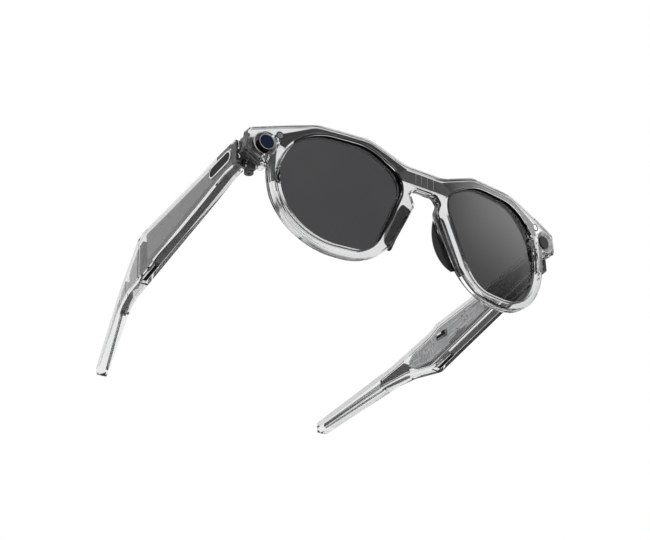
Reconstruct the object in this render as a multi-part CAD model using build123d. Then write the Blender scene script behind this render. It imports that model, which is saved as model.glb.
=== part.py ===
from build123d import *
import os
from math import cos, radians, sin

# Smart glasses in clear plastic, in millimetres.
# While they are drawn: X runs to the wearer's left, Y runs back from the bridge, Z runs up,
# and the zero point is the front face of the bridge at the height of the lens centres.
# At the end everything is lifted so that the origin is the middle of the footprint.
# Left and right are the wearer's own, so the right temple is on the -X side.

# ---- driving dimensions -------------------------------------------------------------------
LENS_CENTRE_X = 36.0
WRAP_RADIUS = 264.0        # the front is bent to this radius, seen from above
FRONT_TILT = 4.0           # degrees that the top of the front leans forward
FRONT_DEPTH = 4.0          # thickness of the front, both shells together
SHELL_SPLIT = 2.6          # depth at which the front shell meets the rear cover
SKIN = 0.9                 # clear plastic left in front of the brow inserts
LENS_FRONT = 2.1           # depth of the front face of a lens
LENS_THICKNESS = 1.4
LENS_SEAT = 0.35           # how far a lens reaches into its groove
EDGE_BREAK = 0.6           # chamfer on the long edges of the front
INSERT_BACK = 2.1          # depth of the back of the inserts in the front shell
END_PIECE_BACK = 15.3      # the flat that a temple closes against

MODULE_X = 65.8            # camera and indicator centres
MODULE_Z = 13.0
MODULE_TURN = 7.0          # degrees that both modules are turned outwards
BEZEL_RADIUS = 4.6
BEZEL_FRONT = 0.75         # depth of the rim of the bowl round the camera
BARREL_FRONT = -0.75       # the camera barrel stands proud of the front
BARREL_RADIUS = 3.0

HINGE_X = 67.0
HINGE_Y = 16.9
HINGE_RADIUS = 1.75
HINGE_BOTTOM = 5.2
HINGE_TOP = 13.8
PIN_RADIUS = 0.8
PIN_CLEARANCE = 0.05

TEMPLE_INNER = 68.5        # flat inner side of a temple
TEMPLE_OUTER = 73.6        # flat outer side
TEMPLE_FRONT = 15.5
BEND_Y = 85.0              # the temple turns inwards behind this
STEM_Y = 107.0             # the slim stem starts here
TIP_Y = 147.6
OUTER_WALL = 1.1
COVER_THICKNESS = 1.0
GAP = 0.05                 # fitting gap between neighbouring pieces

BUTTON_TRAVEL = 0.4


# ---- helpers ------------------------------------------------------------------------------
def outline(corners):
    """Closed face from (x, y, corner radius)."""
    points = [(x, y) for x, y, radius in corners]
    radii = [radius for x, y, radius in corners]
    return make_face(FilletPolyline(*points, radius=radii, close=True))


def upright(face, front, back):
    """Stand a face up in X and Z, and give it the depth from front to back."""
    return extrude(Plane.XZ.offset(-back) * face, amount=back - front, dir=(0, -1, 0))


def sideways(face, inner, outer):
    """Stand a face up in Y and Z, and give it the width from inner to outer."""
    return extrude(Plane.YZ.offset(inner) * face, amount=outer - inner, dir=(1, 0, 0))


def level(face, low, high):
    """Lay a face down in X and Y, and give it the height from low to high."""
    return extrude(Plane.XY.offset(low) * face, amount=high - low, dir=(0, 0, 1))


def block(x0, x1, y0, y1, z0, z1):
    return Pos((x0 + x1) / 2, (y0 + y1) / 2, (z0 + z1) / 2) * Box(x1 - x0, y1 - y0, z1 - z0)


def behind(depth):
    """Everything more than this depth behind the bent front face."""
    return Pos(0, WRAP_RADIUS, 0) * Cylinder(WRAP_RADIUS - depth, 80)


def bent(face, front, back):
    """A face given the thickness from front to back, bent to the wrap of the front."""
    slab = upright(face, -1, 30) & behind(front)
    return slab - behind(back)


def sag(x, depth=0.0):
    """How far back the bent surface lies at x."""
    radius = WRAP_RADIUS - depth
    return WRAP_RADIUS - (radius * radius - x * x) ** 0.5


def mirrored(solid):
    return mirror(solid, about=Plane.YZ)


def pair(solid):
    """A piece and its mirror image, as one group."""
    return Compound(children=[solid, mirrored(solid)])


# ---- outlines of the front ----------------------------------------------------------------
half_front = [
    (8.8, 19.3, 16), (24.3, 25.3, 14), (45.8, 25.5, 16), (71.9, 18.4, 1.6), (72.6, 10.4, 1.4),
    (63.8, 5.6, 2.5), (64.4, -24.5, 27.6), (20.2, -25.6, 24), (5.0, 3.4, 3), (6.7, 7.8, 1.4),
    (4.9, 10.4, 1.6),
]
other_half = [(-x, z, radius) for x, z, radius in reversed(half_front)]
front_outline = outline(half_front + other_half)

lens_corners = [
    (24.4, 21.8, 20.2), (24.4, -21.6, 22.8), (-12.7, -21.6, 13), (-24.9, 6.4, 9), (-24.9, 13.5, 8.6),
    (-11.0, 21.8, 20),
]
opening = outline([(LENS_CENTRE_X + u, w, radius) for u, w, radius in lens_corners])


def grown(face, amount):
    return offset(face, amount)


brow_outline = outline([
    (8.3, 17.5, 0.2), (24.6, 23.9, 13), (46.5, 24.1, 9), (54.2, 20.6, 6),
    (59.4, 18.3, 0.3), (60.4, 13.8, 0.5), (50.0, 9.0, 1), (22.0, 7.0, 1), (14.6, 13.6, 0.5),
])
bridge_outline = outline([
    (-8.5, 17.2, 1), (8.5, 17.2, 1), (14.8, 13.5, 0.3), (12.4, 12.3, 0.3), (-12.4, 12.3, 0.3),
    (-14.8, 13.5, 0.3),
])
antenna_outline = outline([
    (61.4, 12.6, 0.3), (64.0, 11.4, 0.3), (63.4, 3.0, 2), (62.9, -1.6, 0.3), (61.2, -1.0, 0.3),
    (61.9, 4.0, 2),
])
upper_part = make_face(Polyline((54.6, 11.0), (54.6, 27), (9, 27), (9, 6), (20.8, -15.6),
                                (22.8, -14.4), close=True))


# ---- front shell, rear cover and lenses -----------------------------------------------------
LINER = 0.9
liner_ring = (grown(opening, LINER) - opening) & upper_part
liner_recess = (grown(opening, LINER + GAP) - opening) & upper_part
groove = grown(opening, LENS_SEAT)
lens_edge = grown(opening, LENS_SEAT - 0.1)
insert_room = grown(brow_outline, 0.12) - grown(opening, LINER - 0.1)


def module_frame(depth):
    """Plane of a module's front at this depth, facing forwards and a little outwards."""
    turn = radians(MODULE_TURN)
    centre = Vector(MODULE_X, sag(MODULE_X) - 0.1, MODULE_Z)
    forward = Vector(sin(turn), -cos(turn), 0)
    return Plane(origin=centre - forward * depth, x_dir=(cos(turn), sin(turn), 0),
                 z_dir=(-sin(turn), cos(turn), 0))


def module_disc(radius, front, back, hole=0.0):
    face = Circle(radius)
    if hole:
        face = face - Circle(hole)
    return extrude(module_frame(front) * face, amount=back - front)


def module_cone(front_radius, back_radius, front, back):
    """Solid of a cone that narrows from front to back."""
    start = module_frame(front) * Circle(front_radius)
    end = module_frame(back) * Circle(back_radius)
    return loft([start, end])


def front_pocket_cuts():
    """Hollows on the +X side of the front shell."""
    cuts = [
        upright(opening, -2, 30),
        bent(liner_recess, 0.4, SHELL_SPLIT + 1),
        bent(groove, LENS_FRONT - GAP, SHELL_SPLIT + 1),
        bent(insert_room, SKIN, SHELL_SPLIT + 1),
        bent(grown(antenna_outline, 0.1), SKIN, INSERT_BACK),
        module_disc(BEZEL_RADIUS + GAP, -3, 7),
    ]
    return cuts


boss = Pos(60.3, 17.5)
boss_hole = upright(boss * Circle(1.3 + GAP), 3, 30)
boss_pocket = boss_hole & behind(SKIN)

shell = bent(front_outline, 0, SHELL_SPLIT)
front_face_edges = shell.edges().filter_by(lambda e: all(
    abs(sag(v.X) - v.Y) < 0.02 for v in [e @ 0, e @ 0.5, e @ 1]))
shell = chamfer(front_face_edges, EDGE_BREAK)
for cut in front_pocket_cuts():
    shell = shell - cut - mirrored(cut)
shell = shell - boss_pocket - mirrored(boss_pocket)
shell = shell - bent(grown(bridge_outline, 0.1), SKIN, SHELL_SPLIT + 1)

cover = bent(front_outline, SHELL_SPLIT + GAP, FRONT_DEPTH)
back_edges = cover.edges().filter_by(lambda e: all(
    abs(sag(v.X, FRONT_DEPTH) - v.Y) < 0.02 for v in [e @ 0, e @ 0.5, e @ 1]))
cover = chamfer(back_edges, EDGE_BREAK)
lens_back = LENS_FRONT + LENS_THICKNESS
lens_room = [
    upright(opening, -2, 30),
    bent(groove, 2, lens_back + GAP),
    module_disc(BARREL_RADIUS + 1.0, -3, 6.2),
    module_disc(BEZEL_RADIUS + GAP, -3, BEZEL_FRONT + 2.15),
]
for cut in lens_room:
    cover = cover - cut - mirrored(cut)
for x in (-3.2, 3.2):
    cover = cover - Pos(x, FRONT_DEPTH, 13.4) * Rot(90, 0, 0) * Cylinder(1.15, 2.2)

# the end pieces stand upright behind the leaning front
tilt = Rot(FRONT_TILT, 0, 0)
end_piece = upright(outline([
    (62.4, 17.9, 1), (71.6, 17.9, 1), (72.4, 11.0, 1), (65.8, 6.6, 1), (62.4, 6.6, 1)]), 8, END_PIECE_BACK)
end_piece = end_piece & (tilt * behind(SHELL_SPLIT + GAP))
cover = tilt * cover
for solid in (end_piece, mirrored(end_piece)):
    cover = cover + solid
BOSS_BACK = 11.0
leaf_room = block(64.9, 69.1, 12.3, 16.5, HINGE_BOTTOM - 1, 10.9) + block(
    65.5, 68.5, 13.3, 16.5, HINGE_BOTTOM - 1, HINGE_TOP + 0.15)
end_block_side = outline([
    (64.4, 16.9, 0.6), (70.6, 16.9, 0.6), (71.4, 11.4, 0.6), (65.6, 7.6, 0.4), (64.4, 7.6, 0.4)])
end_block_edge = outline([
    (70.1, 16.6, 0.15), (70.8, 16.6, 0.15), (71.4, 11.4, 0.15), (70.1, 10.6, 0.15)])
end_block_room = upright(grown(end_block_side, GAP), 8, END_PIECE_BACK - 0.45)
end_block_room = end_block_room & (tilt * module_disc(30, 5.4, 30))
end_block_front = upright(grown(end_block_edge, GAP), 8, 14) & (tilt * behind(SHELL_SPLIT + 0.7))
end_piece_cuts = [
    Pos(HINGE_X, HINGE_Y, 10) * Cylinder(HINGE_RADIUS + 0.35, 20),
    leaf_room,
    end_block_room,
    end_block_front,
    tilt * module_disc(BARREL_RADIUS + 1.6, -3, 5.3),
    tilt * (boss_hole & behind(SHELL_SPLIT - 1) & upright(Rectangle(200, 100), 0, BOSS_BACK)),
]
for cut in end_piece_cuts:
    cover = cover - cut - mirrored(cut)

lens = bent(lens_edge, LENS_FRONT, lens_back)
liner = bent(liner_ring, 0.45, LENS_FRONT - GAP)
brow_insert = bent(brow_outline - grown(opening, LINER + 2 * GAP), SKIN + GAP, INSERT_BACK)
brow_insert = brow_insert - boss_hole
module_clear = module_disc(BEZEL_RADIUS + 0.2, -3, 7)
brow_insert = brow_insert - module_clear

# ---- things inside the front ---------------------------------------------------------------
bridge_plate = bent(bridge_outline - grown(opening, LINER + 2 * GAP), SKIN + GAP, INSERT_BACK)
bridge_plate = bridge_plate - bent(mirrored(grown(opening, LINER + 2 * GAP)), 0, 6)
bridge_plate = bridge_plate - bent(grown(brow_outline, 0.1), 0, 6)
bridge_plate = bridge_plate - bent(mirrored(grown(brow_outline, 0.1)), 0, 6)
for x in (-4.2, -1.6, 1.2, 4.0):
    groove_line = Pos(x, 14.8) * Rectangle(0.35, 5.6)
    bridge_plate = bridge_plate - bent(groove_line, 0, SKIN + 0.35)

half_flex = [
    (8.5, 16.9, 0.5), (24.8, 23.4, 12), (46.4, 23.5, 9), (53.4, 20.2, 6),
    (58.6, 18.1, 0.3), (59.0, 14.6, 0.3), (50.0, 9.0, 1), (22.0, 7.0, 1), (14.4, 13.4, 0.3),
    (12.2, 12.4, 0.3),
]
flex_outline = outline(half_flex + [(-x, z, radius) for x, z, radius in reversed(half_flex)])
flex_outline = flex_outline - grown(opening, LINER + 2 * GAP) - mirrored(grown(opening, LINER + 2 * GAP))
front_flex = bent(flex_outline, INSERT_BACK + 0.1, INSERT_BACK + 0.3) - boss_hole - mirrored(boss_hole)
front_flex = front_flex - module_clear - mirrored(module_clear)

antenna = bent(antenna_outline, SKIN + GAP, INSERT_BACK - 0.1) - module_clear

# ---- camera on the right, indicator light on the left ---------------------------------------
bezel = module_disc(BEZEL_RADIUS, BEZEL_FRONT, BEZEL_FRONT + 2.1)
bezel = bezel - module_cone(BEZEL_RADIUS - 0.35, BARREL_RADIUS + 0.3, BEZEL_FRONT - 0.01, BEZEL_FRONT + 1.7)
bezel = bezel - module_disc(BARREL_RADIUS + GAP, -1, 5)
camera_barrel = module_disc(BARREL_RADIUS, BARREL_FRONT, 4.6)
camera_barrel = camera_barrel - module_disc(BARREL_RADIUS - 0.3, BARREL_FRONT - 0.1, BARREL_FRONT + 0.8)
camera_barrel = camera_barrel - module_cone(1.9, 1.1, BARREL_FRONT + 0.7, BARREL_FRONT + 2.4)
camera_barrel = camera_barrel - module_disc(1.1, BARREL_FRONT + 2.3, 3.6)
camera_window = module_disc(BARREL_RADIUS - 0.32, BARREL_FRONT + 0.1, BARREL_FRONT + 0.75)
camera_lens = module_disc(1.05, 2.0, 2.7)
sensor_board = extrude(module_frame(4.65) * RectangleRounded(6.2, 6.2, 0.6), amount=0.5)

LIGHT_RADIUS = 2.5
light_bezel = module_disc(BEZEL_RADIUS, 0, 2.6)
light_bezel = light_bezel - module_cone(BEZEL_RADIUS - 0.5, LIGHT_RADIUS + 0.3, -0.01, 1.2)
light_bezel = light_bezel - module_disc(LIGHT_RADIUS + GAP, -1, 4)
light_window = module_disc(LIGHT_RADIUS, 0.3, 1.5)
light_pipe = module_disc(LIGHT_RADIUS, 1.55, 3.6, hole=1.2)
light_board = extrude(module_frame(3.65) * RectangleRounded(5.0, 5.0, 0.5), amount=0.5)
light_board = light_board + extrude(module_frame(2.75) * Rectangle(1.2, 1.0), amount=0.95)

# ---- nose pads ------------------------------------------------------------------------------
pad_top = Vector(5.4, 0, 3.2)
pad_low = Vector(14.8, 0, -18.0)
pad_along = (pad_low - pad_top).normalized()
pad_middle = (pad_top + pad_low) * 0.5
pad_length = (pad_low - pad_top).length
pad_plane = Plane(origin=(pad_middle.X - 0.5, FRONT_DEPTH - 1.2, pad_middle.Z - 0.2),
                  x_dir=(pad_along.X, 0, pad_along.Z), z_dir=(-pad_along.Z, 0, pad_along.X))
half = pad_length / 2
pad_side = make_face([
    ThreePointArc((-half, 0), (-0.1 * half, 5.6), (half, 0)),
    Line((half, 0), (-half, 0)),
])
if (pad_plane.y_dir).Y < 0:
    pad_side = mirror(pad_side, about=Plane.XZ)
nose_pad = extrude(pad_plane * pad_side, amount=4.6, dir=tuple(pad_plane.z_dir))
crown_edges = nose_pad.edges().filter_by(GeomType.CIRCLE)
nose_pad = fillet(crown_edges, 1.3)
nose_pad = (nose_pad & behind(FRONT_DEPTH)) - upright(grown(opening, 0.2), 0, 30)

contacts = Compound(children=[
    Pos(x, FRONT_DEPTH - 0.4, 13.4) * Rot(90, 0, 0) * Cylinder(1.1, 1.3) for x in (-3.2, 3.2)])
boss_screw = upright(boss * Circle(1.25), 3, BOSS_BACK - 0.1) & behind(SKIN + GAP)
boss_screw = boss_screw - upright(boss * Circle(0.6), 3, 7)

# ---- hinges ---------------------------------------------------------------------------------
KNUCKLE_GAP = 0.15
lower_end = HINGE_BOTTOM + 2.6
upper_end = HINGE_TOP - 2.6
pin_hole = Pos(HINGE_X, HINGE_Y, 9) * Cylinder(PIN_RADIUS + PIN_CLEARANCE, 20)
pin_fixed = Pos(HINGE_X, HINGE_Y, 9) * Cylinder(PIN_RADIUS, 20)


def knuckle(low, high):
    return Pos(HINGE_X, HINGE_Y, (low + high) / 2) * Cylinder(HINGE_RADIUS, high - low)


front_leaf = knuckle(HINGE_BOTTOM, lower_end) + knuckle(upper_end, HINGE_TOP)
front_leaf = front_leaf + block(65.0, 69.0, 12.4, 15.0, 8.4, 10.8)
front_leaf = front_leaf + block(65.9, 68.1, 14.0, HINGE_Y, HINGE_BOTTOM + 0.4, lower_end)
front_leaf = front_leaf + block(65.9, 68.1, 14.0, HINGE_Y, upper_end, HINGE_TOP)
front_leaf = front_leaf + block(65.9, 68.1, 14.0, 14.9, HINGE_BOTTOM + 0.4, HINGE_TOP)
front_leaf = front_leaf - block(60, 75, HINGE_Y - 2.0, 30, lower_end, upper_end) - pin_fixed

temple_leaf = knuckle(lower_end + KNUCKLE_GAP, upper_end - KNUCKLE_GAP)
temple_leaf = temple_leaf + block(HINGE_X - 0.2, 70.1, HINGE_Y - 0.6, HINGE_Y + 1.2,
                                  lower_end + KNUCKLE_GAP, upper_end - KNUCKLE_GAP)
temple_leaf = temple_leaf + block(69.6, 70.5, HINGE_Y - 0.6, HINGE_Y + 11, lower_end + KNUCKLE_GAP, 11.0)
temple_leaf = temple_leaf - pin_hole
pin_middle = (HINGE_BOTTOM + HINGE_TOP) / 2
hinge_pin = Pos(HINGE_X, HINGE_Y, pin_middle) * Cylinder(PIN_RADIUS, HINGE_TOP - HINGE_BOTTOM)
pin_head = Pos(HINGE_X, HINGE_Y, HINGE_BOTTOM + 0.35) * Cylinder(1.4, 0.7)
front_leaf = front_leaf - pin_head
hinge_pin = hinge_pin + pin_head
hinge_pin = hinge_pin - Pos(HINGE_X, HINGE_Y, HINGE_BOTTOM) * extrude(RegularPolygon(0.6, 6), amount=0.5)

end_block = upright(end_block_side, 8, END_PIECE_BACK - 0.5) & (tilt * module_disc(30, 5.45, 30))
end_block = end_block + (upright(end_block_edge, 8, 14) & (tilt * behind(SHELL_SPLIT + 0.75)))
end_block = end_block - leaf_room
for y in (11.0, 12.2, 13.4):
    end_block = end_block - block(71.0, 73, y, y + 0.3, 5, 20)

# ---- temple outlines, drawn for the wearer's left ---------------------------------------------
temple_side = outline([
    (TEMPLE_FRONT, 17.3, 0.8), (39.0, 14.2, 90), (80.5, 10.4, 2.5), (106.0, 0.0, 30),
    (TIP_Y, -14.4, 1.9), (TIP_Y - 1.0, -18.6, 1.9), (107.0, -7.9, 30), (98.0, -7.4, 8),
    (BEND_Y, -9.0, 1.5), (64.0, -4.0, 100), (40.0, 1.6, 60), (23.0, 6.0, 8), (TEMPLE_FRONT, 6.6, 0.8),
])
temple_plan = outline([
    (TEMPLE_INNER, TEMPLE_FRONT - 2, 0.3), (TEMPLE_OUTER - 0.5, TEMPLE_FRONT - 2, 0.3),
    (TEMPLE_OUTER, 30, 30),
    (TEMPLE_OUTER, BEND_Y - 1, 4), (68.2, STEM_Y, 60), (56.0, TIP_Y, 1.8), (51.9, TIP_Y - 1.0, 1.8),
    (63.4, STEM_Y, 60), (TEMPLE_INNER, BEND_Y, 6),
])
cavity_side = outline([
    (18.6, 15.1, 0.5), (39.0, 12.8, 60), (79.6, 9.1, 2), (104.0, -1.1, 6), (112.4, -4.0, 0.6),
    (112.4, -7.8, 0.6), (98.0, -5.9, 6), (BEND_Y + 0.5, -7.3, 1.5), (64.0, -2.5, 100), (40.0, 3.0, 60),
    (23.0, 7.4, 8), (18.6, 7.7, 0.5),
])
cavity_inner = TEMPLE_INNER + COVER_THICKNESS
cavity_outer = TEMPLE_OUTER - OUTER_WALL
cavity_plan = outline([
    (TEMPLE_INNER - 3, 18.6, 0.3), (cavity_outer, 18.6, 0.3), (cavity_outer, BEND_Y - 1.3, 4),
    (67.1, STEM_Y, 30), (65.4, 112.4, 0.4), (58.0, 112.4, 0.4), (TEMPLE_INNER - 3, BEND_Y, 1),
])
inner_line = outline([
    (cavity_inner, 10, 0.5), (80, 10, 0.5), (80, 120, 0.5), (cavity_inner - 8.7, 120, 0.5),
    (cavity_inner, BEND_Y, 6),
])
everywhere = level(inner_line, -40, 40)

temple_body = sideways(temple_side, 40, 80) & level(temple_plan, -40, 40)
cavity = sideways(cavity_side, 40, 80) & level(cavity_plan, -40, 40)

cover_side = outline([
    (20.2, 14.4, 0.8), (39.0, 12.3, 60), (79.3, 8.6, 2), (104.0, -1.7, 6), (111.6, -4.4, 0.6),
    (111.6, -7.2, 0.6), (98.0, -5.4, 6), (BEND_Y + 0.6, -6.8, 1.5), (64.0, -2.0, 100), (40.0, 3.5, 60),
    (23.0, 7.9, 4), (20.2, 8.1, 0.5),
])
lid_zone = sideways(cover_side, 40, 80) & temple_body
lid_opening = sideways(grown(cover_side, GAP), 40, 80)
temple_cover = lid_zone - everywhere
shell_hollow = cavity & everywhere
shell_mouth = (lid_opening - everywhere)

stem_core_side = outline([
    (113.2, -5.3, 0.3), (TIP_Y - 5, -15.4, 0.5), (TIP_Y - 5.4, -16.9, 0.5), (113.2, -7.4, 0.3),
])
stem_core_plan = outline([
    (64.6, 113.2, 0.1), (54.4, TIP_Y - 5, 0.3), (53.4, TIP_Y - 5.4, 0.3), (63.5, 113.2, 0.1),
])
stem_core = sideways(stem_core_side, 40, 80) & level(stem_core_plan, -40, 40)

hinge_clear = Pos(HINGE_X, HINGE_Y, 10) * Cylinder(HINGE_RADIUS + 0.35, 20)
leaf_slot = block(66.0, 70.6, HINGE_Y - 0.75, HINGE_Y + 11.1, lower_end, 11.15)
temple_shell = temple_body - shell_hollow - shell_mouth - stem_core - hinge_clear - leaf_slot

# ---- inside each temple ------------------------------------------------------------------------
TRAY_HEIGHT = 2.1
tray_side = outline([
    (19.0, 9.6, 0.3), (24.0, 9.2, 6), (40.0, 3.1 + TRAY_HEIGHT, 60), (64.0, -2.4 + TRAY_HEIGHT, 100),
    (79.6, -5.9 + TRAY_HEIGHT, 0.3), (79.6, -5.8, 0.3), (64.0, -2.4, 100), (40.0, 3.1, 60),
    (23.0, 7.5, 8), (19.0, 7.8, 0.3),
])
tray = sideways(tray_side, cavity_inner + 0.1, cavity_outer - 0.1) - leaf_slot

battery_side = outline([
    (32.0, 13.2, 0.8), (78.8, 8.7, 0.8), (77.4, -3.0, 0.8), (64.0, 0.1, 60), (40.0, 5.6, 60),
    (31.4, 7.5, 0.8),
])
battery = sideways(battery_side, cavity_outer - 1.7, cavity_outer - 0.1)

bracket_side = outline([
    (18.8, 14.9, 0.5), (31.6, 13.5, 0.4), (30.8, 8.6, 0.4), (24.4, 9.9, 1), (18.8, 10.1, 0.3),
])
bracket = sideways(bracket_side, cavity_outer - 1.7, cavity_outer - 0.1)
bracket = bracket - Pos(cavity_outer, 28.6, 10.4) * Rot(0, 90, 0) * Cylinder(0.7, 0.8)

board_side = outline([
    (31.0, 12.9, 0.4), (79.2, 8.4, 2), (95.0, 2.0, 3), (98.4, -2.4, 2.5), (94.0, -5.0, 3), (84.8, -4.3, 1),
    (64.0, 0.3, 60), (40.0, 5.8, 30), (31.0, 7.8, 0.4),
])
BOARD_BEHIND = 0.25        # room between the inner cover and the board, for parts on it
BOARD_THICKNESS = 0.35
board = sideways(board_side, 40, 80) & (Pos(BOARD_BEHIND, 0, 0) * everywhere)
board = board - Pos(BOARD_BEHIND + BOARD_THICKNESS, 0, 0) * everywhere
CHIP_LOW = cavity_inner + BOARD_BEHIND + BOARD_THICKNESS
CHIP_HEIGHT = 0.55
chips = Compound(children=[
    sideways(Pos(36.5, 9.9) * RectangleRounded(5.2, 3.2, 0.2), CHIP_LOW, CHIP_LOW + CHIP_HEIGHT),
    sideways(Pos(44.0, 8.9) * RectangleRounded(4.4, 4.4, 0.2), CHIP_LOW, CHIP_LOW + CHIP_HEIGHT),
    sideways(Pos(52.0, 6.6) * RectangleRounded(6.4, 4.6, 0.2), CHIP_LOW, CHIP_LOW + CHIP_HEIGHT),
    sideways(Pos(60.4, 6.0) * RectangleRounded(3.0, 3.0, 0.2), CHIP_LOW, CHIP_LOW + CHIP_HEIGHT),
    sideways(Pos(60.2, 2.6) * RectangleRounded(2.2, 1.4, 0.1), CHIP_LOW, CHIP_LOW + CHIP_HEIGHT),
])

speaker_side = outline([
    (80.2, 7.4, 0.8), (95.6, 0.9, 2), (95.6, -4.6, 1), (85.6, -5.8, 1), (80.2, -4.4, 0.8),
])
speaker_plan = outline([
    (cavity_inner + 0.75, 80, 0.2), (cavity_outer - 0.1, 80, 0.2), (cavity_outer - 0.1, BEND_Y - 1.4, 4),
    (69.5, 96, 0.3), (67.8, 96, 0.3), (cavity_inner + 0.75, BEND_Y + 0.6, 4),
])
speaker = sideways(speaker_side, 40, 80) & level(speaker_plan, -40, 40)

grille_side = outline([(74.0, -6.23, 0.1), (74.0, -5.73, 0.1), (83.0, -7.88, 0.1), (83.0, -8.38, 0.1)])
speaker_grille = sideways(grille_side, 70.15, 71.85)
for y in range(75, 83):
    speaker_grille = speaker_grille - block(70.5, 71.5, y, y + 0.5, -20, 0)
grille_room = sideways(outline([
    (73.95, -7.1, 0.1), (73.95, -4.2, 0.1), (83.05, -6.4, 0.1), (83.05, -9.2, 0.1)]), 70.1, 71.9)
microphone = block(69.6, 70.3, 28.4, 31.0, 9.8, 11.6)

bend_side = outline([
    (99.6, 0.0, 0.6), (104.0, -1.6, 4), (111.8, -4.4, 0.4), (111.8, -7.2, 0.4), (99.6, -5.6, 0.6),
])
bend_plan = outline([
    (66.5, 99.4, 0.2), (68.9, 99.4, 0.2), (66.9, 107.0, 30), (65.2, 112.0, 0.2), (63.3, 112.0, 0.2),
    (64.4, 107.0, 30),
])
bend_block = sideways(bend_side, 40, 80) & level(bend_plan, -40, 40)

# touch plate on the outer side
pill_place = Pos(26.2, 11.7) * Rot(0, 0, -7)
pill = pill_place * SlotOverall(14.6, 5.0)
pill_inner = pill_place * SlotOverall(13.5, 3.9)
touch_trim = sideways(pill - pill_inner, TEMPLE_OUTER - 0.55, TEMPLE_OUTER - 0.1)
touch_plate = sideways(pill_place * SlotOverall(13.4, 3.8),
                       TEMPLE_OUTER - 0.55, TEMPLE_OUTER - 0.25)
pill_room = sideways(pill_place * SlotOverall(14.7, 5.1),
                     TEMPLE_OUTER - 0.6, TEMPLE_OUTER + 2)

# capture button in the top of the right temple, square to its sloping top
BUTTON_SLOPE = 7.5
button_frame = Pos(71.1, 24.5, 16.12) * Rot(-BUTTON_SLOPE, 0, 0)
TOP_WALL = 1.5


def button_solid(length, width, low, high):
    return button_frame * level(SlotOverall(length, width, rotation=90), low, high)


button_cap = level(SlotOverall(9.0, 1.9, rotation=90), -TOP_WALL - 0.1, 0.6)
button_cap = fillet(button_cap.edges().group_by(Axis.Z)[-1], 0.5)
capture_button = button_frame * button_cap + button_solid(10.0, 2.3, -TOP_WALL - 0.65, -TOP_WALL - 0.1)
button_room = button_solid(9.2, 2.1, -4, 3) + button_solid(10.4, 2.6, -4.6, -TOP_WALL)
switch_top = -TOP_WALL - 0.65 - BUTTON_TRAVEL - 0.02
capture_switch = button_solid(1.6, 0.8, switch_top - 0.5, switch_top)
capture_switch = capture_switch + button_frame * Pos(0, 0, switch_top - 0.9) * Box(1.8, 3.2, 0.9)

# power switch in the inner side of the left temple
POWER_Y = 77.8
POWER_Z = 4.4
power_slot = block(60, cavity_inner + 0.2, POWER_Y - 3.0, POWER_Y + 3.0, POWER_Z - 1.1, POWER_Z + 1.1)
power_knob = block(TEMPLE_INNER - 0.3, cavity_inner + 0.05, POWER_Y - 2.8, POWER_Y - 0.8,
                   POWER_Z - 1.0, POWER_Z + 1.0)
POWER_BASE = cavity_inner + 0.55
power_knob = power_knob + block(cavity_inner + 0.05, POWER_BASE - 0.05, POWER_Y - 2.8, POWER_Y - 0.8,
                                POWER_Z - 1.0, POWER_Z + 1.0)
for behind_front in (0.4, 0.95, 1.5):
    y = POWER_Y - 2.8 + behind_front
    finger_groove = block(TEMPLE_INNER - 0.4, TEMPLE_INNER - 0.15, y, y + 0.2, POWER_Z - 2, POWER_Z + 2)
    power_knob = power_knob - finger_groove
power_base = block(POWER_BASE, cavity_inner + 1.2, POWER_Y - 3.6, POWER_Y + 3.6, POWER_Z - 1.5, POWER_Z + 1.5)
power_room = block(
    cavity_inner, cavity_inner + 1.25, POWER_Y - 3.7, POWER_Y + 3.7, POWER_Z - 1.6, POWER_Z + 1.6)

# ---- put the pieces in their nodes ----------------------------------------------------------
front = {
    "front_shell": shell,
    "left_lens": lens,
    "right_lens": mirrored(lens),
    "left_rim_liner": liner,
    "right_rim_liner": mirrored(liner),
    "left_brow_insert": brow_insert,
    "right_brow_insert": mirrored(brow_insert),
    "bridge_plate": bridge_plate,
    "front_flex": front_flex,
    "antennas": pair(antenna),
    "camera_bezel": mirrored(bezel),
    "camera_barrel": mirrored(camera_barrel),
    "camera_window": mirrored(camera_window),
    "camera_lens": mirrored(camera_lens),
    "camera_board": mirrored(sensor_board),
    "light_bezel": light_bezel,
    "light_window": light_window,
    "light_pipe": light_pipe,
    "light_board": light_board,
    "left_nose_pad": nose_pad,
    "right_nose_pad": mirrored(nose_pad),
}

nodes = {}
for name, solid in front.items():
    nodes[name] = tilt * solid
nodes["rear_cover"] = cover
nodes["boss_screws"] = tilt * pair(boss_screw)
nodes["end_blocks"] = pair(end_block)
nodes["left_front_leaf"] = front_leaf
nodes["right_front_leaf"] = mirrored(front_leaf)
nodes["hinge_pins"] = pair(hinge_pin)
nodes["charging_contacts"] = tilt * contacts

for side in ("left", "right"):
    shell_solid = temple_shell
    lid = temple_cover
    inside = {
        "tray": tray,
        "battery": battery,
        "bracket": bracket,
        "board": board,
        "chips": chips,
        "speaker": speaker,
        "speaker_grille": speaker_grille,
        "microphone": microphone,
        "bend_block": bend_block,
        "stem_core": stem_core,
        "temple_leaf": temple_leaf,
    }
    if side == "right":
        shell_solid = shell_solid - pill_room - (button_room & sideways(temple_side, 69.6, 72.4))
        inside["bracket"] = bracket - button_room
        inside["touch_trim"] = touch_trim
        inside["touch_plate"] = touch_plate
        inside["capture_button"] = capture_button
        inside["capture_switch"] = capture_switch
    else:
        lid = lid - power_slot
        inside["board"] = board - power_room
        inside["battery"] = battery - power_room
        inside["speaker"] = speaker - power_room
        inside["power_knob"] = power_knob
        inside["power_base"] = power_base
    inside["temple_shell"] = shell_solid - grille_room
    inside["temple_cover"] = lid
    for name, solid in inside.items():
        label = name if name.startswith(("touch", "capture", "power")) else side + "_" + name
        nodes[label] = solid if side == "left" else mirrored(solid)

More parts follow.
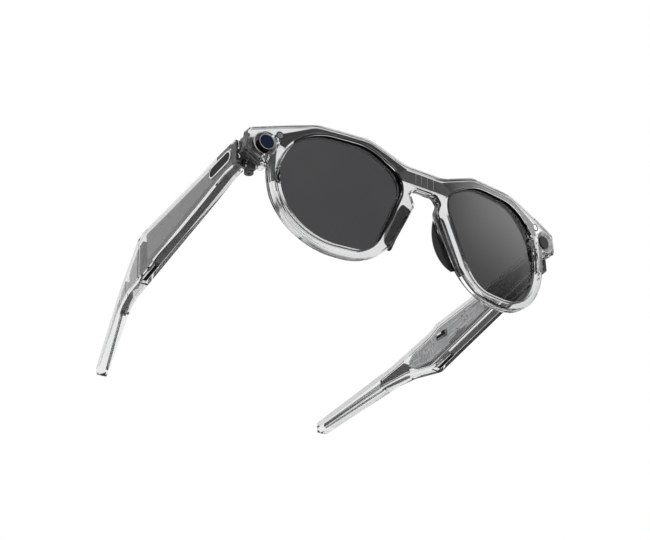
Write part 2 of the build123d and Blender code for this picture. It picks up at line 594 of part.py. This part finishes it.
# ---- stand the glasses on the origin and write the files -------------------------------------
boxes = [solid.bounding_box() for solid in nodes.values()]
middle_y = (min(box.min.Y for box in boxes) + max(box.max.Y for box in boxes)) / 2
lowest = min(box.min.Z for box in boxes)
stand = Pos(0, -middle_y, -lowest)
os.makedirs("parts", exist_ok=True)
for name, solid in nodes.items():
    export_step(stand * solid, "parts/" + name + ".step")
print("moved by", -middle_y, -lowest)
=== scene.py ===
from math import cos, pi, radians, sin

import bmesh
import bpy
from mathutils import Matrix, Vector


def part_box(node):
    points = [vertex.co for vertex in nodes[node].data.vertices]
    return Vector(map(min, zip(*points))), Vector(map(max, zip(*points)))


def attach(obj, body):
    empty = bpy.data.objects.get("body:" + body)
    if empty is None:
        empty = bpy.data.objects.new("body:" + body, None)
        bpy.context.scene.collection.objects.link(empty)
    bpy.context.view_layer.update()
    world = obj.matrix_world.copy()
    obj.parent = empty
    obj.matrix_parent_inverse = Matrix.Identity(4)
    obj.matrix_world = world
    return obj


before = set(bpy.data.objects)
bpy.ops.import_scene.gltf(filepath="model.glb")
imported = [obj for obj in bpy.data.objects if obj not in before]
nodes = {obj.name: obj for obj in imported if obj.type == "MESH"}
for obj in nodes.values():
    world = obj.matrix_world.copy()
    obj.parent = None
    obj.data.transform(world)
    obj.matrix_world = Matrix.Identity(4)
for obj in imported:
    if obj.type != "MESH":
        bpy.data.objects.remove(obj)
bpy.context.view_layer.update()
scene = bpy.context.scene
MM = 0.001


# ---- where things are, from the frame --------------------------------------------------------
def middle(node):
    low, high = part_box(node)
    return (low + high) / 2


# the hinge pins, from the front face of the bridge and the height of the lens centres
HINGE_BEHIND = 16.9
HINGE_ABOVE = 5.2
hinge_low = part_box("hinge_pins")[0]
hinge_middle = middle("hinge_pins")
bridge_front = Vector((0, hinge_middle.y - HINGE_BEHIND * MM, hinge_low.z - HINGE_ABOVE * MM))


def spot(x, y, z):
    """A point given in millimetres from the front of the bridge."""
    return bridge_front + Vector((x, y, z)) * MM


# ---- materials -------------------------------------------------------------------------------
class Graph:
    """Shader nodes and the links between them."""

    def __init__(self, owner):
        owner.use_nodes = True
        self.tree = owner.node_tree

    def add(self, kind, **values):
        node = self.tree.nodes.new("ShaderNode" + kind)
        for key, value in values.items():
            if key in node.inputs:
                node.inputs[key].default_value = value
            else:
                setattr(node, key, value)
        return node

    def link(self, source, target):
        self.tree.links.new(source, target)


class Surface(Graph):
    """A Principled material with helpers for the noise, bump and ramps that feed it."""

    def __init__(self, name, **sockets):
        self.material = bpy.data.materials.new(name)
        super().__init__(self.material)
        self.shader = self.tree.nodes["Principled BSDF"]
        self.place = self.tree.nodes.new("ShaderNodeTexCoord").outputs["Object"]
        for socket, value in sockets.items():
            self.shader.inputs[socket.replace("_", " ")].default_value = value

    def stretched(self, scale):
        mapping = self.add("Mapping", Scale=scale)
        self.link(self.place, mapping.inputs["Vector"])
        return mapping.outputs["Vector"]

    def noise(self, scale, detail=4.0, stretch=None):
        texture = self.add("TexNoise", Scale=scale, Detail=detail)
        self.link(self.stretched(stretch) if stretch else self.place, texture.inputs["Vector"])
        return texture.outputs["Fac"]

    def ramp(self, value, stops):
        ramp = self.add("ValToRGB")
        elements = ramp.color_ramp.elements
        while len(elements) < len(stops):
            elements.new(0.5)
        for element, (position, colour) in zip(elements, stops):
            element.position = position
            element.color = (*colour, 1) if isinstance(colour, tuple) else (colour, colour, colour, 1)
        self.link(value, ramp.inputs["Fac"])
        return ramp.outputs["Color"]

    def colour(self, value, stops):
        self.link(self.ramp(value, stops), self.shader.inputs["Base Color"])

    def roughness(self, value, low, high):
        spread = self.add("MapRange")
        spread.inputs["To Min"].default_value = low
        spread.inputs["To Max"].default_value = high
        self.link(value, spread.inputs["Value"])
        self.link(spread.outputs["Result"], self.shader.inputs["Roughness"])

    def bump(self, value, strength, distance):
        bump = self.add("Bump", Strength=strength, Distance=distance)
        self.link(value, bump.inputs["Height"])
        self.link(bump.outputs["Normal"], self.shader.inputs["Normal"])


def clear_plastic():
    """Polished clear moulding: nearly colourless, with a faint flow pattern."""
    made = Surface("clear plastic", Transmission_Weight=1.0, IOR=1.49, Specular_IOR_Level=0.15)
    made.colour(made.noise(90, 3), [(0.3, (0.955, 0.965, 0.97)), (0.7, (1.0, 1.0, 1.0))])
    made.roughness(made.noise(500, 3), 0.0, 0.02)
    made.bump(made.noise(40, 1), 0.004, 0.0004)
    return made.material


def tinted_lens():
    """Grey sun lens, polished, with a hardly visible mottle."""
    made = Surface("tinted lens", Transmission_Weight=1.0, IOR=1.5)
    made.colour(made.noise(30, 2), [(0.3, (0.066, 0.066, 0.069)), (0.7, (0.076, 0.076, 0.079))])
    made.roughness(made.noise(900, 4), 0.0, 0.02)
    return made.material


def moulding(name, dark, light, rough, grain, **sockets):
    """Opaque moulded plastic with a fine grain."""
    made = Surface(name, **sockets)
    made.colour(made.noise(220, 5), [(0.3, dark), (0.7, light)])
    made.roughness(made.noise(700, 4), rough - 0.07, rough + 0.07)
    made.bump(made.noise(5200, 3), grain, 0.00004)
    return made.material


def polished_metal():
    """Bright plated ring with fine turning marks."""
    made = Surface("polished metal", Metallic=1.0)
    made.colour(made.noise(400, 4), [(0.3, (0.80, 0.81, 0.83)), (0.7, (0.9, 0.9, 0.91))])
    made.roughness(made.noise(2400, 3, (1, 0.1, 1)), 0.06, 0.16)
    made.bump(made.noise(6000, 2, (1, 0.1, 1)), 0.04, 0.00003)
    return made.material


def satin_metal():
    """Turned bowl round a module, dull between its rings."""
    made = Surface("satin metal", Metallic=0.15)
    turning = made.noise(420, 4, (1, 0.3, 1))
    made.colour(turning, [(0.4, (0.42, 0.42, 0.43)), (0.6, (0.78, 0.78, 0.79))])
    made.roughness(made.noise(1500, 3), 0.28, 0.42)
    made.bump(made.noise(4200, 2, (1, 0.2, 1)), 0.1, 0.00004)
    return made.material


def coated_glass():
    """Deep blue cover glass of the camera, with fine lines in its coating."""
    made = Surface("coated glass", Specular_IOR_Level=0.15)
    wave = made.add("TexWave", Scale=900.0, Distortion=0.0)
    made.link(made.place, wave.inputs["Vector"])
    made.colour(wave.outputs["Fac"], [(0.0, (0.010, 0.016, 0.042)), (1.0, (0.022, 0.034, 0.075))])
    made.roughness(made.noise(900, 3), 0.04, 0.1)
    return made.material


def circuit_board():
    """Grey board with a fine pattern of pale lines."""
    made = Surface("circuit board", Coat_Weight=0.3)
    brick = made.add("TexBrick", Scale=320.0, offset=0.5, squash=1.0)
    brick.inputs["Mortar Size"].default_value = 0.05
    brick.inputs["Color1"].default_value = (0.40, 0.41, 0.42, 1)
    brick.inputs["Color2"].default_value = (0.52, 0.53, 0.54, 1)
    brick.inputs["Mortar"].default_value = (0.75, 0.76, 0.77, 1)
    made.link(made.place, brick.inputs["Vector"])
    made.link(brick.outputs["Color"], made.shader.inputs["Base Color"])
    made.roughness(made.noise(800, 3), 0.3, 0.5)
    return made.material


def ribbed_grey():
    """Dark grey moulding with fine upright ribs."""
    made = Surface("ribbed grey")
    wave = made.add("TexWave", Scale=230.0, Distortion=0.6, bands_direction="Y")
    wave.inputs["Detail"].default_value = 1.0
    made.link(made.place, wave.inputs["Vector"])
    shades = [(0.15, (0.05, 0.05, 0.052)), (0.5, (0.085, 0.085, 0.087)), (0.9, (0.15, 0.15, 0.153))]
    made.colour(wave.outputs["Fac"], shades)
    made.roughness(made.noise(700, 4), 0.42, 0.56)
    made.bump(wave.outputs["Fac"], 0.3, 0.00008)
    return made.material


def brushed_metal():
    """Dark steel, brushed lengthwise."""
    made = Surface("brushed metal", Metallic=1.0)
    made.colour(made.noise(300, 4), [(0.3, (0.12, 0.12, 0.123)), (0.7, (0.2, 0.2, 0.203))])
    made.roughness(made.noise(3000, 3, (1, 0.06, 1)), 0.24, 0.42)
    made.bump(made.noise(5000, 2, (1, 0.05, 1)), 0.1, 0.00003)
    return made.material


def gold_plate():
    """Plating of the charging contacts."""
    made = Surface("gold plate", Metallic=1.0)
    made.colour(made.noise(500, 4), [(0.3, (0.8, 0.58, 0.24)), (0.7, (0.9, 0.68, 0.32))])
    made.roughness(made.noise(1500, 3), 0.16, 0.28)
    return made.material


CLEAR = clear_plastic()
LENS = tinted_lens()
BLACK = moulding("gloss black", 0.003, 0.006, 0.3, 0.05, Specular_IOR_Level=0.12)
SATIN = satin_metal()
BROW = moulding("brow grey", 0.068, 0.082, 0.55, 0.25)
MID_GREY = moulding("bridge grey", 0.17, 0.2, 0.5, 0.2)
PANEL = moulding("battery film", 0.17, 0.21, 0.45, 0.15)
FILM = moulding("polyimide film", (0.09, 0.06, 0.03), (0.13, 0.09, 0.04), 0.35, 0.05)
METAL = polished_metal()
GLASS = coated_glass()
SMOKE = moulding("smoked diffuser", 0.02, 0.035, 0.25, 0.03, Specular_IOR_Level=0.3)
BOARD = circuit_board()
CHIP = moulding("chip black", 0.02, 0.03, 0.4, 0.2)
RUBBER = moulding("pad rubber", 0.012, 0.02, 0.42, 0.15)
HINGE = moulding("grey coated steel", 0.05, 0.085, 0.4, 0.15, Metallic=0.2)
SPEAKER = moulding("speaker box", 0.02, 0.03, 0.5, 0.15, Specular_IOR_Level=0.15)
DARK_GREY = moulding("dark grey", 0.055, 0.075, 0.5, 0.2)
RIBBED = ribbed_grey()
# pale paint shared by the board's traces and by painted highlights: the rings round the camera and
# light bowls and the Y-shaped line on the right bracket
TRACE_AND_HIGHLIGHT = moulding("pale trace and painted highlight", 0.9, 0.96, 0.4, 0.02)
CORE = brushed_metal()
GOLD = gold_plate()

finishes = {
    CLEAR: ["front_shell", "rear_cover", "temple_shell", "temple_cover"],
    LENS: ["lens"],
    BLACK: ["rim_liner", "tray", "bend_block", "speaker_grille", "power_knob", "power_base",
            "camera_barrel", "touch_plate", "capture_button"],
    BROW: ["brow_insert"],
    DARK_GREY: ["bracket"],
    RIBBED: ["end_blocks"],
    MID_GREY: ["bridge_plate", "antennas"],
    PANEL: ["battery"],
    FILM: ["front_flex"],
    METAL: ["touch_trim", "boss_screws"],
    SATIN: ["camera_bezel", "light_bezel"],
    GLASS: ["camera_window", "camera_lens"],
    SMOKE: ["light_window", "light_pipe"],
    BOARD: ["camera_board", "light_board", "board"],
    CHIP: ["chips", "microphone", "capture_switch"],
    RUBBER: ["nose_pad"],
    HINGE: ["front_leaf", "temple_leaf", "hinge_pins"],
    SPEAKER: ["speaker"],
    CORE: ["stem_core"],
    GOLD: ["charging_contacts"],
}
for material, names in finishes.items():
    for name in names:
        for node in (name, "left_" + name, "right_" + name):
            if node in nodes:
                nodes[node].data.materials.clear()
                nodes[node].data.materials.append(material)


# ---- small pieces that the frame doesn't carry --------------------------------------------------
SIDES = (("left", 1), ("right", -1))
EDGE_WIDTH = 0.08


def made_object(name, data, material, body):
    """A piece that moves with a body."""
    data.materials.append(material)
    piece = bpy.data.objects.new(name, data)
    scene.collection.objects.link(piece)
    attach(piece, body)
    return piece


def made_mesh(name, form, material, body):
    mesh = bpy.data.meshes.new(name)
    form.to_mesh(mesh)
    form.free()
    return made_object(name, mesh, material, body)


def pushed(corners, push):
    """Closed form between a flat outline and the same outline moved by a push in millimetres."""
    form = bmesh.new()
    face = form.faces.new([form.verts.new(corner) for corner in corners])
    grown = bmesh.ops.extrude_face_region(form, geom=[face])["geom"]
    moved = [item for item in grown if isinstance(item, bmesh.types.BMVert)]
    bmesh.ops.translate(form, verts=moved, vec=Vector(push) * MM)
    bmesh.ops.recalc_face_normals(form, faces=form.faces)
    return form


def prism(name, corners, front, back, material, body):
    """Upright outline of (x, z) corners, pushed from one depth to another, with softened edges."""
    form = pushed([spot(x, front, z) for x, z in corners], (0, back - front, 0))
    piece = made_mesh(name, form, material, body)
    edge = piece.modifiers.new("edge", "BEVEL")
    edge.width = EDGE_WIDTH * MM
    edge.segments = 2


def trace(name, points, radius, material, body, closed=False):
    """Round line through points."""
    curve = bpy.data.curves.new(name, "CURVE")
    curve.dimensions = "3D"
    curve.bevel_depth = radius * MM
    curve.bevel_resolution = 1
    curve.use_fill_caps = True
    line = curve.splines.new("POLY")
    line.use_cyclic_u = closed
    line.points.add(len(points) - 1)
    for point, place in zip(line.points, points):
        point.co = (*place, 1)
    made_object(name, curve, material, body)


# ---- rings on the front ------------------------------------------------------------------------
# both modules are turned outwards, and lean with the front
MODULE_TURN = radians(7)
FRONT_LEAN = radians(4)
RING_STEPS = 48


def ring(name, centre, side, radius, lift, thickness, material):
    """Round line in a plane across the front, in front of a centre by the lift."""
    lean = Matrix.Rotation(FRONT_LEAN, 3, "X")
    across = lean @ Vector((cos(MODULE_TURN), side * sin(MODULE_TURN), 0))
    upwards = lean @ Vector((0, 0, 1))
    forward = across.cross(upwards)
    points = []
    for step in range(RING_STEPS):
        angle = 2 * pi * step / RING_STEPS
        outwards = across * cos(angle) * radius + upwards * sin(angle) * radius
        points.append(centre + (forward * lift + outwards) * MM)
    trace(name, points, thickness, material, "front", closed=True)


# pale rings painted as highlights along the rims of the camera bowl, the camera window and the light
# bowl
ring("camera_bowl_painted_highlight", middle("camera_bezel"), -1, 4.42, 1.12, 0.16, TRACE_AND_HIGHLIGHT)
ring("camera_window_painted_highlight", middle("camera_window"), -1, 2.9, 0.44, 0.07, TRACE_AND_HIGHLIGHT)
ring("light_bowl_painted_highlight", middle("light_bezel"), 1, 4.4, 1.36, 0.12, TRACE_AND_HIGHLIGHT)
for side, sign in SIDES:
    ring(side + "_boss_ring", spot(sign * 60.3, 6.6, 18.0), sign, 1.35, 0.0, 0.22, DARK_GREY)


# ---- left temple's board -----------------------------------------------------------------------
# where the temple turns inwards, and by how much for each millimetre
BEND_Y = 85.0
BEND_SLOPE = 0.2486
BOARD_THICKNESS = 0.35
PATCH_LIFT = 0.02
PATCH_THICKNESS = 0.12
LINE_LIFT = 0.17
LINE_THICKNESS = 0.04
LINE_WIDTH = 0.8
board_face = (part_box("left_board")[1].x - bridge_front.x) / MM - BOARD_THICKNESS

# (y, z) points of the pale lines, and corners of the flat parts
BOARD_TRACES = {
    "edge": [(81.0, 6.8), (84.6, 5.2), (90.5, 2.9), (94.4, 1.2), (96.6, -0.9), (96.8, -2.6),
             (94.0, -4.0), (89.0, -4.0), (85.4, -3.7), (79.0, -2.2)],
    "zigzag": [(84.2, 4.6), (83.4, 2.6), (84.5, 1.0), (83.7, -1.4)],
    "upper": [(34.0, 11.2), (47.0, 9.6), (49.0, 10.2), (62.0, 8.6), (64.0, 7.2), (71.0, 6.5)],
    "middle": [(38.0, 8.6), (52.0, 6.4), (53.6, 7.2), (61.0, 6.0), (62.4, 4.6), (70.0, 3.3)],
    "lower": [(58.0, 3.6), (66.0, 1.8), (67.2, 2.6), (73.6, 1.2)],
    "loop": [(86.6, 2.4), (88.6, 2.0), (89.2, 0.6), (87.6, -0.4), (86.2, 0.8), (86.6, 2.4)],
    "stub": [(91.0, -1.2), (94.2, -1.6)],
}
BOARD_SHIELD = ((62.5, 0.9), (62.5, 3.0), (68.6, 1.6), (68.6, 0.4), (73.0, -0.6), (73.0, -1.9))
BOARD_PART_FRONT = ((40.0, 6.0), (40.0, 7.6), (50.0, 5.6), (50.0, 3.9))
BOARD_PART_MIDDLE = ((52.0, 8.6), (52.0, 9.4), (57.4, 8.8), (57.4, 8.0))


def on_board(y, z, lift):
    """A point just inside the inner cover, on the face of the left temple's board."""
    return spot(board_face - max(0.0, y - BEND_Y) * BEND_SLOPE - lift, y, z)


def board_patch(name, corners, material):
    """Flat part on the board, behind the inner cover."""
    form = pushed([on_board(y, z, PATCH_LIFT) for y, z in corners], (-PATCH_THICKNESS, 0, 0))
    made_mesh(name, form, material, "left_temple")


def board_line(name, points):
    """Flat pale line on the board, one strip for each stretch."""
    form = bmesh.new()
    for (y0, z0), (y1, z1) in zip(points, points[1:]):
        along = Vector((y1 - y0, z1 - z0)).normalized() * LINE_WIDTH / 2
        aside = Vector((-along.y, along.x))
        corners = [Vector((y0, z0)) - along + aside, Vector((y1, z1)) + along + aside,
                   Vector((y1, z1)) + along - aside, Vector((y0, z0)) - along - aside]
        form.faces.new([form.verts.new(on_board(y, z, LINE_LIFT)) for y, z in corners])
    piece = made_mesh(name, form, TRACE_AND_HIGHLIGHT, "left_temple")
    thick = piece.modifiers.new("thickness", "SOLIDIFY")
    thick.thickness = LINE_THICKNESS * MM


for name, points in BOARD_TRACES.items():
    board_line("trace_" + name, points)

board_patch("board_shield", BOARD_SHIELD, DARK_GREY)
board_patch("board_part_front", BOARD_PART_FRONT, DARK_GREY)
board_patch("board_part_middle", BOARD_PART_MIDDLE, MID_GREY)


# ---- linings, strips and ribs ------------------------------------------------------------------
# the end pieces are lined in grey, and so is the front of each temple
END_LINING = ((71.2, 17.2), (71.9, 11.3), (65.8, 7.2), (65.5, 7.7), (71.3, 11.7), (70.7, 17.2))
LINING_DEPTHS = (10.4, 15.15)
BRACKET_FOOT = ((73.2, 16.2), (73.2, 8.6), (70.9, 8.6), (70.9, 9.4), (72.4, 9.6), (72.4, 16.2))
FOOT_DEPTHS = (15.7, 18.7)
for side, sign in SIDES:
    lining = [(sign * x, z) for x, z in END_LINING]
    prism(side + "_end_lining", lining, *LINING_DEPTHS, RIBBED, "front")
    foot = [(sign * x, z) for x, z in BRACKET_FOOT]
    prism(side + "_bracket_foot", foot, *FOOT_DEPTHS, RIBBED, side + "_temple")

# the black strip that carries on below the bend
BEND_STRIP = ((70.9, 80.2, -4.9), (70.9, 84.0, -5.4), (70.0, 88.0, -4.9), (68.6, 93.0, -3.7),
              (67.2, 98.0, -2.9))
STRIP_RADIUS = 0.75
for side, sign in SIDES:
    strip = [spot(sign * x, y, z) for x, y, z in BEND_STRIP]
    trace(side + "_bend_strip", strip, STRIP_RADIUS, BLACK, side + "_temple")

# pale ribs in the grooves of the bridge plate, which leans
BRIDGE_GROOVES = (-4.2, -1.6, 1.2, 4.0)
BRIDGE_RIB_RADIUS = 0.14
for number, x in enumerate(BRIDGE_GROOVES):
    ends = [spot(x, 0.25, 12.9), spot(x, -0.06, 17.1)]
    trace("bridge_rib_%d" % number, ends, BRIDGE_RIB_RADIUS, TRACE_AND_HIGHLIGHT, "front")

# the Y-shaped highlight on the outer side of the right bracket, painted as pale lines
BRACKET_HIGHLIGHTS = {
    "bracket_highlight_long": ((22.0, 12.4), (24.6, 11.6), (29.6, 11.0)),
    "bracket_highlight_short": ((22.4, 10.6), (24.6, 11.6)),
}
BRACKET_HIGHLIGHT_RADIUS = 0.12
BRACKET_HIGHLIGHT_LIFT = 0.02
highlight_face = (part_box("right_bracket")[0].x - bridge_front.x) / MM - BRACKET_HIGHLIGHT_LIFT
for name, points in BRACKET_HIGHLIGHTS.items():
    route = [spot(highlight_face, y, z) for y, z in points]
    trace(name, route, BRACKET_HIGHLIGHT_RADIUS, TRACE_AND_HIGHLIGHT, "right_temple")


# ---- camera ----------------------------------------------------------------------------------
# angles, distance and shift in metres of the view, from the front of the bridge
AZIMUTH = radians(-36.195)
ELEVATION = radians(-29.367)
ROLL = radians(-1.968)
DISTANCE = 0.662523
SIDEWAYS = 0.037412
UPWARDS = 0.01938
FOCAL_LENGTH = 99.686

back = Vector((sin(AZIMUTH) * cos(ELEVATION), -cos(AZIMUTH) * cos(ELEVATION), sin(ELEVATION)))
level_right = Vector((0, 0, 1)).cross(back).normalized()
level_up = back.cross(level_right)
right = cos(ROLL) * level_right + sin(ROLL) * level_up
up = cos(ROLL) * level_up - sin(ROLL) * level_right

camera = bpy.data.objects.new("camera", bpy.data.cameras.new("camera"))
scene.collection.objects.link(camera)
place = bridge_front + DISTANCE * back - SIDEWAYS * right - UPWARDS * up
turn = Matrix((right, up, back)).transposed().to_4x4()
camera.matrix_world = Matrix.Translation(place) @ turn
camera.data.lens = FOCAL_LENGTH
camera.data.clip_start = 0.01
scene.camera = camera


# ---- floor and light -------------------------------------------------------------------------
# the glasses hang well above the floor, as in the photo, where no floor shows
FLOOR_DROP = 0.85
FLOOR_SIZE = 4

# brightness of the studio, and the ways in which it isn't plain
ROOM = 0.7
OVERHEAD = 0.85
DARK_BAND = 0.12
DARK_FRONT = 0.2
PANEL_GLOW = 1.9
UPWARD = (0, 0, 1)
DOWNWARD = (0, 0, -1)
FRONT_WAY = (0.50, -0.75, 0.41)
PANEL_EDGE = (0.04, 0, 1)
PANEL_WAY = (0.86, -0.42, 0.41)


def pale_floor():
    mesh = bpy.data.meshes.new("floor")
    form = bmesh.new()
    bmesh.ops.create_grid(form, x_segments=1, y_segments=1, size=FLOOR_SIZE)
    form.to_mesh(mesh)
    floor = bpy.data.objects.new("floor", mesh)
    floor.location.z = -FLOOR_DROP
    scene.collection.objects.link(floor)
    made = Surface("pale floor", Specular_IOR_Level=0.1)
    made.colour(made.noise(6, 3), [(0.3, 0.86), (0.7, 0.9)])
    made.roughness(made.noise(40, 3), 0.7, 0.85)
    mesh.materials.append(made.material)


class Sky(Graph):
    """World shader: white to the camera, a soft studio to everything else."""

    def __init__(self):
        scene.world = bpy.data.worlds.new("studio")
        super().__init__(scene.world)
        self.way = self.add("TexCoord").outputs["Generated"]

    def along(self, direction, start, end):
        """0 to 1 as the ray turns towards a direction, from one cosine to another."""
        dot = self.add("VectorMath", operation="DOT_PRODUCT")
        dot.inputs[1].default_value = Vector(direction).normalized()
        self.link(self.way, dot.inputs[0])
        spread = self.add("MapRange", interpolation_type="SMOOTHSTEP")
        spread.inputs["From Min"].default_value = start
        spread.inputs["From Max"].default_value = end
        self.link(dot.outputs["Value"], spread.inputs["Value"])
        return spread.outputs["Result"]

    def both(self, first, second):
        product = self.add("Math", operation="MULTIPLY")
        self.link(first, product.inputs[0])
        self.link(second, product.inputs[1])
        return product.outputs["Value"]

    def mixed(self, amount, below, value):
        """Go from the brightness below to a value by an amount between 0 and 1."""
        blend = self.add("Mix")
        self.link(amount, blend.inputs["Factor"])
        if isinstance(below, float):
            blend.inputs["A"].default_value = below
        else:
            self.link(below, blend.inputs["A"])
        blend.inputs["B"].default_value = value
        return blend.outputs["Result"]


def studio_world():
    """Pale all round, with a dark band at eye level, a dark front and one soft bright panel."""
    sky = Sky()
    glow = sky.mixed(sky.along(UPWARD, 0.1, 0.3), ROOM, OVERHEAD)
    band = sky.both(sky.along(UPWARD, -0.22, -0.1), sky.along(DOWNWARD, -0.12, 0.0))
    glow = sky.mixed(band, glow, DARK_BAND)
    glow = sky.mixed(sky.along(FRONT_WAY, 0.75, 0.90), glow, DARK_FRONT)
    panel = sky.both(sky.along(PANEL_EDGE, 0.42, 0.475), sky.along(PANEL_WAY, 0.93, 0.995))
    glow = sky.mixed(panel, glow, PANEL_GLOW)
    room = sky.add("Background")
    sky.link(glow, room.inputs["Strength"])
    white = sky.tree.nodes["Background"]
    white.inputs["Color"].default_value = (1, 1, 1, 1)
    room.inputs["Color"].default_value = (1, 1, 1, 1)
    mix = sky.add("MixShader")
    sky.link(sky.add("LightPath").outputs["Is Camera Ray"], mix.inputs["Fac"])
    sky.link(room.outputs["Background"], mix.inputs[1])
    sky.link(white.outputs["Background"], mix.inputs[2])
    sky.link(mix.outputs["Shader"], sky.tree.nodes["World Output"].inputs["Surface"])


pale_floor()
studio_world()
scene.view_settings.view_transform = "Standard"
